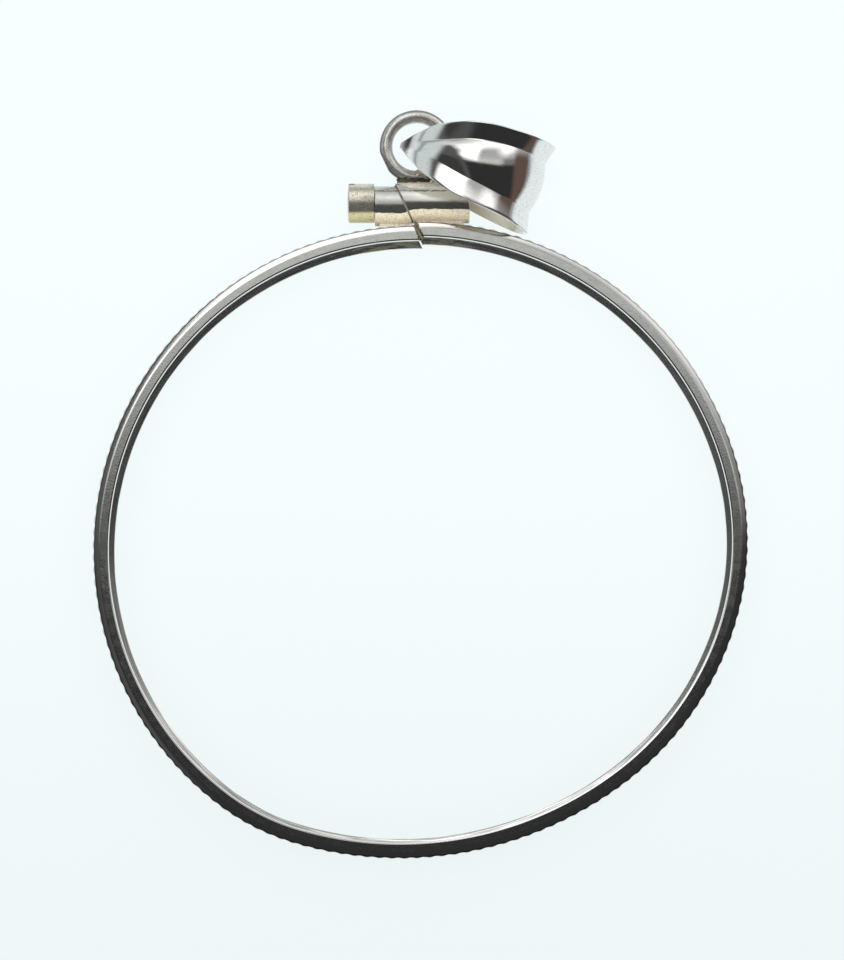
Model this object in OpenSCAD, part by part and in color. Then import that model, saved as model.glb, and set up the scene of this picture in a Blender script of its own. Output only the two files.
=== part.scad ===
// Coin bezel pendant in silver: a thin reeded rim that grips a coin by its edge, sawn through at
// the top and drawn shut by a small screw, with a soldered loop and a tapered fluted bail.
// It lies on its back with no coin in it. Millimetres, +Z up out of the front face.
// The origin is the centre of the coin's seat, and +Y points from there to the screw tube.

/* [Coin] */
// Diameter of the coin that the seat takes
coin_d = 38.1; // [37.5:0.1:38.7]
// Thickness of that coin
coin_t = 2.4; // [2.3:0.05:2.6]
// Slack of the coin's edge in the groove, across its thickness
coin_slack = 0.1; // [0.08:0.01:0.2]

/* [Rim] */
// Width of the rim seen from the front, from its inner lip to the tips of its reeds
rim_w = 0.93; // [0.85:0.01:1.1]
// Thickness of each of the two lips that hold the coin
lip_t = 0.4; // [0.39:0.01:0.5]
// Depth of the groove that the coin's edge sits in
lip_reach = 0.5; // [0.35:0.01:0.6]
// How much further in the back lip reaches than the front one
back_reach = 0.1; // [0:0.01:0.15]
// Width of the shallow bevel along the two outer edges
bevel_w = 0.35; // [0.2:0.01:0.45]
// Depth of that bevel
bevel_drop = 0.12; // [0.06:0.01:0.3]
// Number of reeds round the outer wall
reed_count = 160; // [120:1:180]
// Height of a reed above the notch beside it
reed_h = 0.12; // [0.05:0.01:0.2]

/* [Saw cut] */
// Lean of the saw cut away from the line between the seat's centre and the tube
cut_lean = 25.5; // [15:0.5:30]
// Width of the saw cut
cut_w = 0.12; // [0.08:0.01:0.3]

/* [Tube and screw] */
// Outer diameter of the screw tube
tube_d = 2.45; // [2.2:0.05:2.5]
// Distance of the screw's axis beyond the coin's edge
screw_out = 1.71; // [1.65:0.01:1.8]
// How much nearer the seat the left half of the tube sits
half_step = 0.18; // [0:0.01:0.2]
// Left end of the tube
tube_x0 = -2.66; // [-3:0.01:-2.4]
// Right end of the tube
tube_x1 = 3.12; // [2.8:0.01:3.2]
// Diameter of the screw's shank
shank_d = 1.2; // [1:0.05:1.3]
// Tapped hole in the right half
tapped_d = 1.26; // [1.2:0.01:1.4]
// Clearance hole in the left half
clear_d = 1.7; // [1.6:0.05:1.8]
// Diameter of the screw's head
head_d = 2.4; // [2.2:0.05:2.5]
// Length of the screw's head
head_l = 1.66; // [1.2:0.02:2]
// Width of the slot in the head
slot_w = 0.32; // [0.2:0.02:0.5]
// Depth of the slot in the head
slot_deep = 0.45; // [0.3:0.05:0.7]

/* [Loop] */
// Radius of the loop, to the middle of its wire
loop_r = 1.87; // [1.8:0.01:1.9]
// Diameter of the loop's wire
wire_d = 0.8; // [0.7:0.02:0.84]
// Place of the loop's centre to the left or right of the seat's centre
loop_x = -0.11; // [-0.3:0.01:0.3]
// Thickness of the solder under the loop
pad_t = 0.3; // [0.2:0.02:0.4]

/* [Bail] */
// Length of the bail from its closed tip to its fold
bail_l = 9.08; // [8.6:0.02:9.3]
// Thickness of the bail's sheet
bail_t = 0.3; // [0.25:0.01:0.35]
// Depth of the two creases beside its middle panel
flute = 0.28; // [0.1:0.01:0.35]
// Direction that the bail points in, from +X
bail_turn = -18.5; // [-20:0.5:40]
// Distance of its tip past the loop's centre
tip_past = 0.98; // [0.9:0.01:1.1]
// Distance of its middle line from the loop's centre
bail_aside = 0.2; // [0.1:0.01:0.25]

/* [Hidden] */
$fn = 64;
eps = 0.01;
silver = [0.78, 0.78, 0.79];
tarnished = [0.78, 0.72, 0.6];

// The rim isn't quite round: it is seven arcs, each running on smoothly from the one before,
// from the left side of the saw cut round by the left to the right side of it. Each arc ends
// in a direction whose cosine and sine are sides of a 3-4-5 or a 7-24-25 triangle, so that
// the centres are short decimals and the arcs meet exactly.
BEYOND = 0;
END_DIR = 1;
rim_arcs = [ // [radius beyond the coin's, direction from the arc's centre to its end]
    [0.15, [-0.96, -0.28]],
    [-0.35, [-0.6, -0.8]],
    [-5.35, [-0.28, -0.96]],
    [3.1, [0.6, -0.8]],
    [-0.7, [0.96, -0.28]],
    [-1.95, [0.96, 0.28]],
    [0.5, [0, 1]],
];
arc_n = len(rim_arcs);
first_dir = [0, 1];
first_centre = [0, -0.45];
coin_r = coin_d / 2;

groove_w = coin_t + coin_slack;
rim_h = groove_w + 2 * lip_t;
half_w = rim_w / 2;
seat_u = lip_reach - half_w;
reed_foot = half_w - reed_h;

// Radius, centre, first direction and sweep of each arc.
function arc_r(i) = coin_r + rim_arcs[i][BEYOND];
function start_dir(i) = i == 0 ? first_dir : rim_arcs[i - 1][END_DIR];
function end_dir(i) = rim_arcs[i][END_DIR];
function arc_centre(i) = i == 0 ? first_centre
    : arc_centre(i - 1) + (arc_r(i - 1) - arc_r(i)) * start_dir(i);
function angle_of(d) = atan2(d[1], d[0]);
function sweep(i) = (angle_of(end_dir(i)) - angle_of(start_dir(i)) + 360) % 360;
centres = [for (i = [0:arc_n - 1]) arc_centre(i)];

// Length of the rim up to the start of each arc, and the point u outside its middle at length s.
function len_to(i) = i == 0 ? 0 : len_to(i - 1) + arc_r(i - 1) * sweep(i - 1) * PI / 180;
lens = [for (i = [0:arc_n]) len_to(i)];
rim_len = lens[arc_n];
function arc_at(s, i = 0) = i == arc_n - 1 || s < lens[i + 1] ? i : arc_at(s, i + 1);
function radial(a) = [cos(a), sin(a)];
function on_arc(i, s, u) = centres[i]
    + (arc_r(i) + u) * radial(angle_of(start_dir(i)) + (s - lens[i]) / arc_r(i) * 180 / PI);
function rim_point(s, u) = on_arc(arc_at(s), s, u);
left_end_y = first_centre[1] + arc_r(0);
right_end_y = centres[arc_n - 1][1] + arc_r(arc_n - 1);

// The saw cut is an upright plane through this point of the rim, leaning to the left.
cut_point = [-0.04, coin_r - 0.15];
cut_reach = 8;

// The space on the right of the left half's sawn face, or on the left of the right half's.
module beside_cut(side) {
    x0 = side > 0 ? -cut_w / 2 : cut_w / 2 - cut_reach;
    translate(cut_point) rotate([0, 0, cut_lean]) translate([x0, -cut_reach, -cut_reach])
        cube([cut_reach, 2 * cut_reach, 2 * cut_reach]);
}

// Half of all space: what lies to the right of a ray from the origin, or to its left.
far = 60;
module half_space(dir, side) {
    multmatrix([[dir[0], -dir[1], 0, 0], [dir[1], dir[0], 0, 0], [0, 0, 1, 0]])
        translate([-far, side > 0 ? -2 * far : 0, -far]) cube(2 * far);
}

// Section of the rim with its middle at radius r: a channel that is open towards the coin.
module rim_section(r) {
    out = half_w + eps;
    bevel_u = out - bevel_w;
    back_u = half_w + back_reach;
    h = rim_h / 2;
    g = groove_w / 2;
    polygon([
        [r - back_u, -h], [r + bevel_u, -h], [r + out, -h + bevel_drop],
        [r + out, h - bevel_drop], [r + bevel_u, h], [r - half_w, h],
        [r - half_w, g], [r + seat_u, g], [r + seat_u, -g], [r - back_u, -g],
    ]);
}

// Arc i of the rim. The first and the last run on past the cut, and the cut trims them.
past_cut = 1;
rim_fn = 360;
module rim_arc(i) {
    difference() {
        translate(centres[i]) difference() {
            rotate_extrude($fn = rim_fn) rim_section(arc_r(i));
            translate([i == 0 ? past_cut : 0, 0, 0]) half_space(start_dir(i), 1);
            translate([i == arc_n - 1 ? -past_cut : 0, 0, 0]) half_space(end_dir(i), -1);
        }
        if (i == 0) beside_cut(1);
        if (i == arc_n - 1) beside_cut(-1);
    }
}

// Outline of the reeds: a point at each tip, and a notch with a flat floor between tips.
notch_from = 0.26;
module reeds() {
    pitch = rim_len / reed_count;
    reed = [[0, half_w], [notch_from, reed_foot], [1 - notch_from, reed_foot]];
    outline = [for (k = [0:reed_count - 1], p = reed) rim_point((k + p[0]) * pitch, p[1])];
    translate([0, 0, -rim_h]) linear_extrude(2 * rim_h) polygon(outline);
}

module rim() {
    intersection() {
        union() {
            for (i = [0:arc_n - 1]) rim_arc(i);
        }
        reeds();
    }
}

// The tube, its holes and the screw lie along X. Holes run past the ends of what they cut.
past = 1;
module along_x(x0, x1, y, d) {
    translate([x0, y, 0]) rotate([0, 90, 0]) cylinder(d = d, h = x1 - x0);
}

// Bed of solder between the rim's wall and half of the tube, wider at the rim. It starts
// inside the wall, whose middle is at end_y there, and reaches up into the tube.
bed_in = 0.3;
module solder_bed(x0, x1, end_y, tube_y) {
    foot = 0.8;
    neck = 0.4;
    foot_y = end_y + 0.13;
    foot_top = foot_y + 0.2;
    neck_y = tube_y - tube_d / 2 + 0.05;
    translate([x0, 0, 0]) rotate([90, 0, 90]) linear_extrude(x1 - x0) polygon([
        [foot_y, -foot], [foot_top, -foot], [neck_y, -neck], [tube_y, -neck],
        [tube_y, neck], [neck_y, neck], [foot_top, foot], [foot_y, foot],
    ]);
}

screw_y = coin_r + screw_out;
left_y = screw_y - half_step;

// Both halves of the tube start whole, run past the saw cut and are trimmed by it.
left_x1 = 0.5;
right_x0 = -2;

module left_half() {
    difference() {
        union() {
            along_x(tube_x0, left_x1, left_y, tube_d);
            solder_bed(tube_x0 + bed_in, left_x1, left_end_y, left_y);
        }
        along_x(tube_x0 - past, left_x1 + past, left_y, clear_d);
        beside_cut(1);
    }
}

// The loop stands on the right half's tube, and the saw has grazed its wire.
tube_top = screw_y + tube_d / 2;
loop_y = tube_top + loop_r + wire_d / 2 - eps;

module loop() {
    translate([loop_x, loop_y, 0]) rotate_extrude() translate([loop_r, 0]) circle(d = wire_d);
}

// Lens of solder under the loop: a slice of a flat round disc, sunk a little into the tube.
module solder_pad() {
    pad_x = 0.05;
    half_z = 0.5;
    half_l = 1.4;
    dip = 0.135;
    rise = pad_t + dip;
    r = (half_l * half_l + rise * rise) / (2 * rise);
    sunk = 0.45;
    intersection() {
        translate([pad_x, tube_top + pad_t - r, -half_z]) cylinder(r = r, h = 2 * half_z);
        translate([pad_x - half_l, tube_top - sunk, -half_z])
            cube([2 * half_l, pad_t + sunk + past, 2 * half_z]);
    }
}

module right_half() {
    difference() {
        union() {
            along_x(right_x0, tube_x1, screw_y, tube_d);
            solder_bed(right_x0, tube_x1 - bed_in, right_end_y, screw_y);
            loop();
            solder_pad();
        }
        along_x(right_x0 - past, tube_x1 + past, screw_y, tapped_d);
        beside_cut(-1);
    }
}

// The rim, both halves of the tube, the loop and their solder are one solid.
module bezel() {
    color(silver) {
        rim();
        left_half();
        right_half();
    }
}

// The screw fills the tube from the left, and its shank ends just short of the other end. Its
// head is slightly domed, with a slot that has come to rest at a slant.
head_gap = 0.03;
head_x = tube_x0 - head_gap;
shank_x1 = tube_x1 - 0.5;
neck_l = 0.5;
slot_turn = 20;
dome = 0.08;
dome_r = (head_d * head_d / 4 + dome * dome) / (2 * dome);

module screw() {
    color(tarnished) {
        difference() {
            intersection() {
                along_x(head_x - head_l, head_x, screw_y, head_d);
                translate([head_x - head_l + dome_r, screw_y, 0]) sphere(r = dome_r);
            }
            translate([head_x - head_l - past, screw_y, 0]) rotate([slot_turn, 0, 0])
                translate([0, -head_d, -slot_w / 2])
                cube([past + slot_deep, 2 * head_d, slot_w]);
        }
        along_x(head_x - neck_l, shank_x1, screw_y, shank_d);
    }
}

// The bail is one tapered strip, folded at its wide middle with its two narrow ends joined.
// The rows run round its outside from the closed tip, over the front, round the fold and back
// along the underside. They are for a bail rows_l long beside a rim rows_h high, and go with both.
rows_l = 9.08;
rows_h = 3.3;
ALONG = 0;
HEIGHT = 1;
HALF_W = 2;
CREASE = 3;
bail_rows = [ // [distance from tip, height, half of width, share of it inside the creases]
    [0, 0, 0.2, 0.3],
    [0.3, 0.55, 0.44, 0.3],
    [0.8, 1.3, 0.84, 0.3],
    [1.65, 2.2, 1.44, 0.33],
    [2.7, 2.95, 1.88, 0.41],
    [4.1, 3.45, 2.3, 0.5],
    [5.4, 3.58, 2.48, 0.55],
    [6.7, 3.35, 2.57, 0.59],
    [7.8, 2.7, 2.67, 0.6],
    [8.6, 1.75, 2.74, 0.59],
    [9.0, 0.85, 2.79, 0.57],
    [9.08, 0.1, 2.8, 0.55],
    [8.85, -0.75, 2.78, 0.56],
    [8.15, -1.4, 2.7, 0.58],
    [7.1, -1.6, 2.56, 0.58],
    [5.5, -1.6, 2.32, 0.54],
    [4.0, -1.55, 1.98, 0.48],
    [2.7, -1.3, 1.52, 0.4],
    [1.6, -0.9, 1.04, 0.33],
    [0.75, -0.48, 0.6, 0.3],
];
row_n = len(bail_rows);
row_steps = 3;
across_n = 12;
// The creases grow in over flute_run from the tip, and are half as deep along the underside.
flute_run = 3.5;
back_share = 0.5;
// The middle panel lies a little to one side, and the edges turn up slightly.
panel_aside = 0.1;
edge_lift = 0.03;
edge_curl = 1.2;
// The strip's ends are filed flat together, so the tip is thicker.
tip_share = 1.4;

// Smooth curve through b and c with a and d on either side of them.
function spline(a, b, c, d, t) = ((3 * b - 3 * c + d - a) * t * t * t
    + (2 * a - 5 * b + 4 * c - d) * t * t + (c - a) * t + 2 * b) / 2;
function row(i) = bail_rows[i % row_n];
function before_tip(b, c) = 2 * b - c;
function stage(i, t) = spline(
    i == 0 ? before_tip(row(0), row(1)) : row(i - 1), row(i), row(i + 1),
    i == row_n - 1 ? before_tip(row(row_n), row(row_n - 1)) : row(i + 2), t);
function steps(i) = i == 0 || i == row_n - 1 ? 1 : row_steps;
stages = [for (i = [0:row_n - 1], k = [0:steps(i) - 1]) stage(i, k / steps(i))];
stage_n = len(stages);

// Outward direction at a stage, from the two beside it.
function side_on(i) = let (p = stages[(i + stage_n - 1) % stage_n], q = stages[(i + 1) % stage_n],
    t = [q[ALONG] - p[ALONG], q[HEIGHT] - p[HEIGHT]]) [-t[1], t[0]] / norm(t);

// Place across the strip and rise above its middle line, for j from one edge to the other.
function share(j) = 2 * j / across_n - 1;
function panel(j) = min(1, 2 * abs(share(j)));
function flange(j) = max(0, 2 * abs(share(j)) - 1);
function growth(s) = min(1, s[ALONG] / flute_run);
function across(s, j) = panel_aside * growth(s) * (1 - flange(j)) + sign(share(j)) * s[HALF_W]
    * (s[CREASE] * panel(j) + (1 - s[CREASE]) * flange(j));
function underneath(s) = min(1, max(0, -s[HEIGHT] / (rows_h / 2)));
function fluting(s) = flute * growth(s) * (1 - back_share * underneath(s));
function rise(s, j) = (fluting(s) + edge_lift) * pow(flange(j), edge_curl)
    - fluting(s) * pow(panel(j), 2);
function sheet_t(i) = i == 0 ? tip_share * bail_t : bail_t;
function height(s) = s[HEIGHT] * (s[HEIGHT] < 0 ? rim_h / rows_h : 1);
function skin(i, j, under) = let (s = stages[i], n = side_on(i),
    d = rise(s, j) - (under ? sheet_t(i) : 0))
    [(s[ALONG] + n[0] * d) * bail_l / rows_l, across(s, j), height(s) + n[1] * d];

ring_n = 2 * (across_n + 1);
ring_places = [for (j = [0:across_n]) [j, false], for (j = [0:across_n]) [across_n - j, true]];
bail_points = [for (i = [0:stage_n - 1], p = ring_places) skin(i, p[0], p[1])];
function ring_point(i, j) = (i % stage_n) * ring_n + j % ring_n;
bail_faces = [for (i = [0:stage_n - 1], j = [0:ring_n - 1], half = [0, 1])
    let (a = ring_point(i, j), b = ring_point(i, j + 1), c = ring_point(i + 1, j + 1),
        d = ring_point(i + 1, j)) half == 0 ? [a, b, c] : [a, c, d]];

module bail() {
    color(silver) translate([loop_x, loop_y, 0]) rotate([0, 0, bail_turn])
        translate([-tip_past, -bail_aside, 0]) polyhedron(bail_points, bail_faces);
}

bezel();
screw();
bail();
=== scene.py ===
import bmesh
import bpy
import numpy as np
from math import cos, pi, radians, sin
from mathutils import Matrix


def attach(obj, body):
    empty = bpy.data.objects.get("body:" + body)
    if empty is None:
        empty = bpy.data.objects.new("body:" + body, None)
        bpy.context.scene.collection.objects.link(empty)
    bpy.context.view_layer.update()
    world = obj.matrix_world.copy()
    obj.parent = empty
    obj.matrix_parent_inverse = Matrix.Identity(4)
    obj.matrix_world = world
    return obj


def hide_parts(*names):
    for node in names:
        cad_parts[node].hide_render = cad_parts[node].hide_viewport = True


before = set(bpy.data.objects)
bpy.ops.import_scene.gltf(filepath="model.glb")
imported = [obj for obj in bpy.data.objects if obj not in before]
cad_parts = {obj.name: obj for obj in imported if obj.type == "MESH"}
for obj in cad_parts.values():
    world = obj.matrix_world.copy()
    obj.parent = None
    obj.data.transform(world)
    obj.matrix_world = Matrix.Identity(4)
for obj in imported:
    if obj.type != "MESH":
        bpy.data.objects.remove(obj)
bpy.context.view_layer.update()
scene = bpy.context.scene

# Camera: it looks nearly straight down on the pendant from a hand's length above, from a little
# below the middle of the ring.
camera = bpy.data.objects.new("camera", bpy.data.cameras.new("camera"))
scene.collection.objects.link(camera)
camera.location = (0.0002231, -0.0074709, 0.18431)
camera.rotation_euler = (radians(3.493), 0, 0)
camera.data.lens = 113.643
camera.data.sensor_width = 36
camera.data.clip_start = 0.01
scene.camera = camera
scene.view_settings.view_transform = "Standard"


# Studio: a pale tent with two lamps above the loop, dark around the camera, and brown wood to the
# right. The silver shows all of it, so the world gives each direction its own light, and the
# camera itself sees plain pale paper.
def feed(tree, socket, value):
    """Gives a socket this value, or a link where an output is given."""
    if isinstance(value, bpy.types.NodeSocket):
        tree.links.new(value, socket)
    else:
        socket.default_value = value


def put(tree, kind, inputs=None, **settings):
    """A shader node with these settings, whose inputs are fed by name or number."""
    made = tree.nodes.new("ShaderNode" + kind)
    for name, value in settings.items():
        setattr(made, name, value)
    for name, value in (inputs or {}).items():
        feed(tree, made.inputs[name], value)
    return made


def maths(tree, operation, *values):
    """Output of a Math node with these values or outputs."""
    return put(tree, "Math", dict(enumerate(values)), operation=operation).outputs[0]


def times(tree, *values):
    """Product of two values or outputs."""
    return maths(tree, "MULTIPLY", *values)


def vectors(tree, operation, *values, **named):
    """Output of a Vector Math node with these vectors or outputs. Scale is given by name."""
    return put(tree, "VectorMath", {**dict(enumerate(values)), **named},
               operation=operation).outputs[0]


def fade(tree, value, start, end, low=0.0, high=1.0):
    """Runs smoothly from low to high as value goes from start to end."""
    names = ("Value", "From Min", "From Max", "To Min", "To Max")
    return put(tree, "MapRange", dict(zip(names, (value, start, end, low, high))),
               interpolation_type="SMOOTHSTEP").outputs[0]


def over(tree, share, under, upper):
    """Colour under, with colour upper laid over it by share."""
    under, upper = ((*value, 1) if isinstance(value, (tuple, list)) else value
                    for value in (under, upper))
    return put(tree, "Mix", {0: share, 6: under, 7: upper}, data_type="RGBA").outputs[2]


def new_group(name, takes, gives):
    """Empty node group with these sockets, each a (type, name) or a (type, name, value)."""
    tree = bpy.data.node_groups.new(name, "ShaderNodeTree")
    for in_out, sockets in (("INPUT", takes), ("OUTPUT", gives)):
        for kind, label, *value in sockets:
            made = tree.interface.new_socket(label, in_out=in_out, socket_type="NodeSocket" + kind)
            if value:
                made.default_value = value[0]
    return tree, tree.nodes.new("NodeGroupInput").outputs, tree.nodes.new("NodeGroupOutput").inputs


def use(tree, group, **inputs):
    """Places a node group. Its inputs are given by name, with _ for a space."""
    made = tree.nodes.new("ShaderNodeGroup")
    made.node_tree = group
    for name, value in inputs.items():
        feed(tree, made.inputs[name.replace("_", " ")], value)
    return made.outputs


def soft_panel():
    """1 inside a rectangle of the sky and 0 outside, with a soft edge. Place, Centre, Half size
    and Edge are degrees off the vertical, and Turn is radians."""
    tree, given, out = new_group("soft panel", [
        ("Vector", "Place"), ("Vector", "Centre"), ("Vector", "Half size"),
        ("Float", "Turn"), ("Float", "Edge", 4.0)], [("Float", "Mask")])
    moved = vectors(tree, "SUBTRACT", given["Place"], given["Centre"])
    turned = put(tree, "VectorRotate", {"Vector": moved, "Angle": given["Turn"]},
                 rotation_type="Z_AXIS", invert=True).outputs[0]
    beyond = vectors(tree, "SUBTRACT", vectors(tree, "ABSOLUTE", turned), given["Half size"])
    beyond = put(tree, "SeparateXYZ", {0: beyond}).outputs
    half_edge, back = times(tree, given["Edge"], 0.5), times(tree, given["Edge"], -0.5)
    sides = [fade(tree, beyond[k], half_edge, back) for k in (0, 1)]
    tree.links.new(times(tree, *sides), out["Mask"])
    return tree


world = bpy.data.worlds.new("studio")
scene.world = world
world.use_nodes = True
sky = world.node_tree
sky.nodes.clear()
# Each direction has its place on a round map of the sky, at its angle off the vertical along its
# heading: aside is the degrees towards +x on this map, and up those towards +y.
toward = put(sky, "SeparateXYZ", {0: put(sky, "TexCoord").outputs["Generated"]}).outputs
tilt = times(sky, maths(sky, "ARCCOSINE", toward[2]), 180 / pi)
heading = put(sky, "CombineXYZ", {0: toward[0], 1: toward[1]}).outputs[0]
place = vectors(sky, "SCALE", vectors(sky, "NORMALIZE", heading), Scale=tilt)
aside, up, _ = put(sky, "SeparateXYZ", {0: place}).outputs
slant = maths(sky, "ADD", aside, times(sky, up, -0.45))

sky_light = over(sky, fade(sky, up, 9, 22), (0.64, 0.65, 0.63), (0.46, 0.46, 0.455))
for light, *runs in (  # light, and one or two runs of degrees over which it comes in
        ((0.21, 0.205, 0.20), (aside, 23, 39), (up, 22, 12)),  # shade low at the right
        ((1.25, 1.25, 1.20), (up, 33, 44)),  # the tent's far wall, darker lower down
        ((0.80, 0.80, 0.78), (up, 54, 64)),
        ((0.40, 0.40, 0.39), (up, 66, 82)),
        ((0.032, 0.033, 0.033), (up, 7.7, 2.3)),  # dark from the camera to the near side
        ((0.105, 0.107, 0.105), (aside, -25, -34), (up, 66, 50)),  # dim at the left
        ((0.050, 0.050, 0.049), (aside, -30, -44), (up, 8, -2)),
        ((0.66, 0.735, 0.72), (slant, -58, -76)),  # pale paper low at the left
        ((0.13, 0.088, 0.075), (aside, 52, 63), (up, 36, 18)),  # brown wood
        ((0.80, 0.86, 0.86), (aside, 83, 110))):  # pale paper low at the right
    shares = [fade(sky, *run) for run in runs]
    sky_light = over(sky, times(sky, *shares) if shares[1:] else shares[0], sky_light, light)
panel = soft_panel()
lamps = (  # centre, half size, turn, edge, light
    ((-14.2, 30.5, 0), (11.8, 20.5, 9), -15, 8, (1.62, 1.6, 1.6)),
    ((41, 37, 0), (14.5, 10, 9), 15, 20, (1.65, 1.58, 1.58)),
)
for centre, half_size, turn, edge, light in lamps:
    mask = use(sky, panel, Place=place, Centre=centre, Half_size=half_size, Turn=radians(turn),
               Edge=edge)["Mask"]
    sky_light = over(sky, mask, sky_light, light)
paper = (0.913, 0.982, 0.991)
seen = put(sky, "LightPath").outputs["Is Camera Ray"]
sky_light = over(sky, seen, sky_light, paper)
background = put(sky, "Background", {"Color": sky_light, "Strength": 1.0})
sky.links.new(background.outputs[0], put(sky, "OutputWorld").inputs[0])

# The tent's even light falls from above on what is dull: flux, solder and the table. Polished
# metal shows the sky instead, so this light is kept out of its reflections.
even = bpy.data.lights.new("even light", "AREA")
even.shape = "DISK"
even.size = 1.0
even.energy = 4.9
tent = bpy.data.objects.new("even light", even)
tent.location = (0, -0.05, 0.5)
tent.visible_glossy = False
tent.visible_camera = False
scene.collection.objects.link(tent)


# Table: a sheet of frosted white plastic that the pendant lies on. Nearly all of its light comes
# from below, through the sheet, so that the pendant hardly casts a shadow.
def add_mesh(name, points, quads, rings=(), marks=None, sharp=40):
    """An object from points in millimetres, faces of four, and rings that one flat face closes.
    marks are numbers kept on the points by name. Doubles are merged, which closes the poles, and
    all faces are turned round if the volume inside comes out negative."""
    mesh = bpy.data.meshes.new(name)
    sizes = np.concatenate([np.full(len(quads), 4), [len(ring) for ring in rings]]).astype(int)
    corners = np.concatenate([np.ravel(quads), *rings]).astype(np.int32)
    mesh.vertices.add(len(points))
    mesh.vertices.foreach_set("co", (np.asarray(points) * 0.001).ravel())
    mesh.loops.add(len(corners))
    mesh.loops.foreach_set("vertex_index", corners)
    mesh.polygons.add(len(sizes))
    mesh.polygons.foreach_set("loop_start", np.concatenate([[0], np.cumsum(sizes)[:-1]]))
    mesh.polygons.foreach_set("loop_total", sizes)
    mesh.update(calc_edges=True)
    for mark, values in (marks or {}).items():
        mesh.attributes.new(mark, "FLOAT", "POINT").data.foreach_set("value", np.ravel(values))
    work = bmesh.new()
    work.from_mesh(mesh)
    bmesh.ops.remove_doubles(work, verts=work.verts, dist=2e-7)
    if work.calc_volume(signed=True) < 0:
        bmesh.ops.reverse_faces(work, faces=work.faces)
    work.to_mesh(mesh)
    work.free()
    mesh.shade_smooth()
    mesh.set_sharp_from_angle(angle=radians(sharp))
    made = bpy.data.objects.new(name, mesh)
    scene.collection.objects.link(made)
    return made


def grid_quads(rows, columns, close_rows=False, close_columns=False):
    """Faces of four on a grid of points that is numbered row by row. A closed direction joins its
    last line to its first."""
    row = np.arange(rows if close_rows else rows - 1)[:, None]
    column = np.arange(columns if close_columns else columns - 1)[None, :]
    next_row, next_column = (row + 1) % rows, (column + 1) % columns
    quads = [row * columns + column, next_row * columns + column,
             next_row * columns + next_column, row * columns + next_column]
    return np.stack(np.broadcast_arrays(*quads), -1).reshape(-1, 4)


def add_grid(name, points, ends, marks=None, sharp=40):
    """An object from a grid of points [row, column] whose columns close. The first and last rows
    are its ends: "joined" to each other, "flat" with a flat face on each, or each a "pole"."""
    rows, columns = points.shape[:2]
    first = np.arange(columns)
    rings = [first, first[::-1] + (rows - 1) * columns] if ends == "flat" else ()
    marks = {mark: np.broadcast_to(value, (rows, columns)) for mark, value in (marks or {}).items()}
    quads = grid_quads(rows, columns, close_rows=ends == "joined", close_columns=True)
    return add_mesh(name, points.reshape(-1, 3), quads, rings, marks, sharp)


def full_turn(steps):
    """Angles of so many even steps round a circle."""
    return np.linspace(0, 2 * pi, steps, endpoint=False)


def finish_with(tree, shader, **finishes):
    """Feeds these inputs of the shader, which are named with _ for a space."""
    for name, value in finishes.items():
        feed(tree, shader.inputs[name.replace("_", " ")], value)


def new_material(name, **values):
    """Material with one Principled shader, whose own inputs get these values."""
    made = bpy.data.materials.new(name)
    made.use_nodes = True
    shader = made.node_tree.nodes["Principled BSDF"]
    finish_with(made.node_tree, shader, **values)
    return made, made.node_tree, shader


def place_mm(tree):
    """Object coordinates in millimetres."""
    return vectors(tree, "SCALE", put(tree, "TexCoord").outputs["Object"], Scale=1000.0)


table_z, table_r, table_deep = -1.66, 2000, 5
turn = full_turn(64)
edge = np.stack([table_r * np.cos(turn), table_r * np.sin(turn), np.full(64, table_z)], -1)
table = add_grid("table", np.stack([edge, edge - (0, 0, table_deep)]), "flat")
plastic, tree, shader = new_material("frosted plastic", Base_Color=(0.05, 0.053, 0.053, 1),
                                     Roughness=0.7, Specular_IOR_Level=0.1, Emission_Strength=0.93)
at = put(tree, "SeparateXYZ", {0: place_mm(tree)}).outputs
lit = over(tree, fade(tree, at[1], 26, -32), [value * 1.015 for value in paper],
           [value * 0.93 for value in paper])
# Only the middle of the sheet is lit from below, which the silver shows at its steep edges.
away = maths(tree, "SQRT", maths(tree, "ADD", times(tree, at[0], at[0]), times(tree, at[1], at[1])))
shown = over(tree, fade(tree, away, 26, 60), paper, [value * 0.3 for value in paper])
from_camera = put(tree, "LightPath").outputs["Is Camera Ray"]
finish_with(tree, shader, Emission_Color=over(tree, from_camera, shown, lit))
table.data.materials.append(plastic)


# Rim: a thin silver channel that grips the coin by its edge, open towards the coin. Its outer wall
# was cut with reeds, and it was bent round, soldered, and sawn through at the top. It isn't quite
# round: seven arcs run smoothly one into the next.
coin_r = 19.05
half_w, half_h = 0.465, 1.65
groove, seat = 1.25, 0.035  # half the groove's width, and its floor beyond the middle line
front_edge, back_reach, back_taper = -0.5, 0.1, 0.139  # the back lip reaches further in
shoulder_from = 0.01
line_at, line_half = 0.352, 0.026
reeds, reed_h, reed_steps = 160, 0.08, 8
arcs = np.array([  # [radius beyond the coin's, direction from the arc's centre to its end]
    [0.15, -0.96, -0.28], [-0.35, -0.6, -0.8], [-5.35, -0.28, -0.96], [3.1, 0.6, -0.8],
    [-0.7, 0.96, -0.28], [-1.95, 0.96, 0.28], [0.5, 0.0, 1.0]])
radii = coin_r + arcs[:, 0]
ends = arcs[:, 1:]
starts = np.vstack([[0, 1], ends[:-1]])
steps = (radii[:-1] - radii[1:])[:, None] * starts[1:]
centres = np.array([0, -0.45]) + np.vstack([[0, 0], np.cumsum(steps, axis=0)])
start_turn = np.arctan2(starts[:, 1], starts[:, 0])
sweep = (np.arctan2(ends[:, 1], ends[:, 0]) - start_turn) % (2 * pi)
lengths = np.concatenate([[0], np.cumsum(radii * sweep)])
pitch = lengths[-1] / reeds
saw_lean = radians(25.5)
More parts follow.
